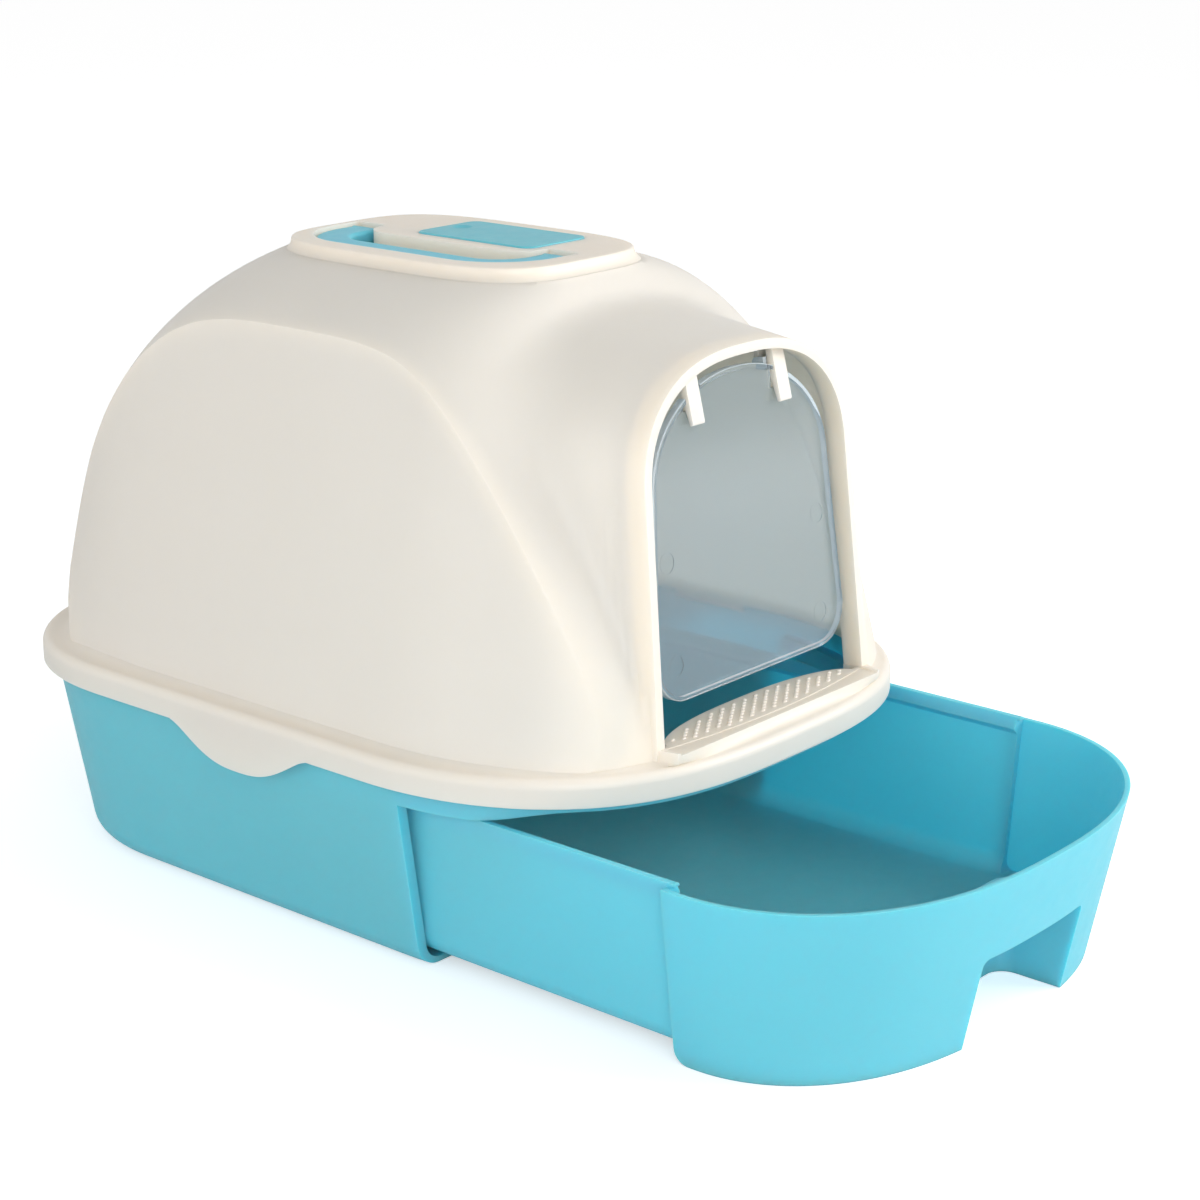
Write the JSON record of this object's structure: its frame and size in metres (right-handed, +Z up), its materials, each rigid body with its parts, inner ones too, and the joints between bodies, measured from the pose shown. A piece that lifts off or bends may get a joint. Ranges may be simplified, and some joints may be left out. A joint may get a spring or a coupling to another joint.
{
  "type": "drawer litter box",
  "caption": "Hooded cat litter box: blue base, litter tray that pulls out at the front like a drawer, domed cream hood with swinging clear door, carrying handle and filter cover.",
  "frame": {"origin": "on the floor under the base, on the centre plane, midway along the closed box", "axes": "+Z up, the entrance faces -Y and the drawer pulls out along -Y, +X to the right seen from the front"},
  "size_m": [0.4, 0.7208, 0.401],
  "materials": {
    "tray_plastic": "satin moulded polypropylene, sky blue",
    "hood_plastic": "satin moulded polypropylene, cream white",
    "clear_plastic": "translucent moulded plastic, smoky clear",
    "filter_felt": "charcoal felt"
  },
  "bodies": {
    "base": {"base": "tray_plastic"},
    "drawer": {"drawer": "tray_plastic"},
    "hood": {"hood": "hood_plastic", "filter_pad": "filter_felt"},
    "door_flap": {"door_flap": "clear_plastic"},
    "carry_handle": {"carry_handle": "tray_plastic"},
    "filter_cover": {"filter_cover": "tray_plastic"}
  },
  "joints": [
    {"name": "drawer_slide", "type": "slide", "parent": "base", "child": "drawer", "axis": [0, -1, 0], "range_m": [-0.189, 0.11]},
    {"name": "hood_lift", "type": "slide", "parent": "base", "child": "hood", "axis": [0, 0, 1], "range_m": [0, 0.15]},
    {"name": "flap_swing", "type": "hinge", "parent": "hood", "child": "door_flap", "pos_m": [0, -0.2115, 0.345], "axis": [1, 0, 0], "range_deg": [0, 80]},
    {"name": "handle_swing", "type": "hinge", "parent": "hood", "child": "carry_handle", "pos_m": [0.004, 0.0025, 0.39325], "axis": [0, 1, 0], "range_deg": [0, 95]},
    {"name": "cover_lift", "type": "slide", "parent": "hood", "child": "filter_cover", "axis": [0, 0, 1], "range_m": [0, 0.024]}
  ]
}
